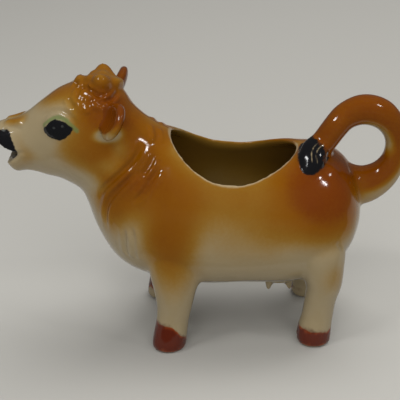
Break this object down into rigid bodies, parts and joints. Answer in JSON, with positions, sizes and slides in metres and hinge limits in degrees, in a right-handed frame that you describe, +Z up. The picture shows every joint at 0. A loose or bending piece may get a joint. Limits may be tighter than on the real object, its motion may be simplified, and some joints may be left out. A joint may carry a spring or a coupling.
{
  "type": "cow creamer",
  "caption": "Standing cow creamer with an open back for filling, an open mouth for pouring and a looped tail as its handle.",
  "frame": {"origin": "middle of the creamer's bounding box, on the plane that the hooves stand on", "axes": "+X from the head towards the tail, +Y to the cow's right side, +Z up"},
  "size_m": [0.1487, 0.056, 0.1034],
  "materials": {
    "body_glaze": "cream glaze with orange-brown airbrushing over the neck, shoulder and rump, clear gloss",
    "head_glaze": "orange-brown airbrushing on a cream face, black eyes and nose, clear gloss",
    "ear_glaze": "orange-brown with a red-brown cup and a cream edge, clear gloss",
    "horn_glaze": "brown airbrushing, clear gloss",
    "tail_glaze": "orange-brown airbrushing with a cream inner edge, clear gloss",
    "tuft_glaze": "black underglaze paint, clear gloss",
    "cream_glaze": "cream glaze, red-brown on the hooves, clear gloss"
  },
  "bodies": {
    "root": {"body_shell": "body_glaze", "head_shell": "head_glaze", "left_ear": "ear_glaze", "right_ear": "ear_glaze", "left_horn": "horn_glaze", "right_horn": "horn_glaze", "tail_handle": "tail_glaze", "tail_tuft": "tuft_glaze", "udder": "cream_glaze", "front_left_leg": "cream_glaze", "front_right_leg": "cream_glaze", "rear_left_leg": "cream_glaze", "rear_right_leg": "cream_glaze"}
  },
  "joints": []
}
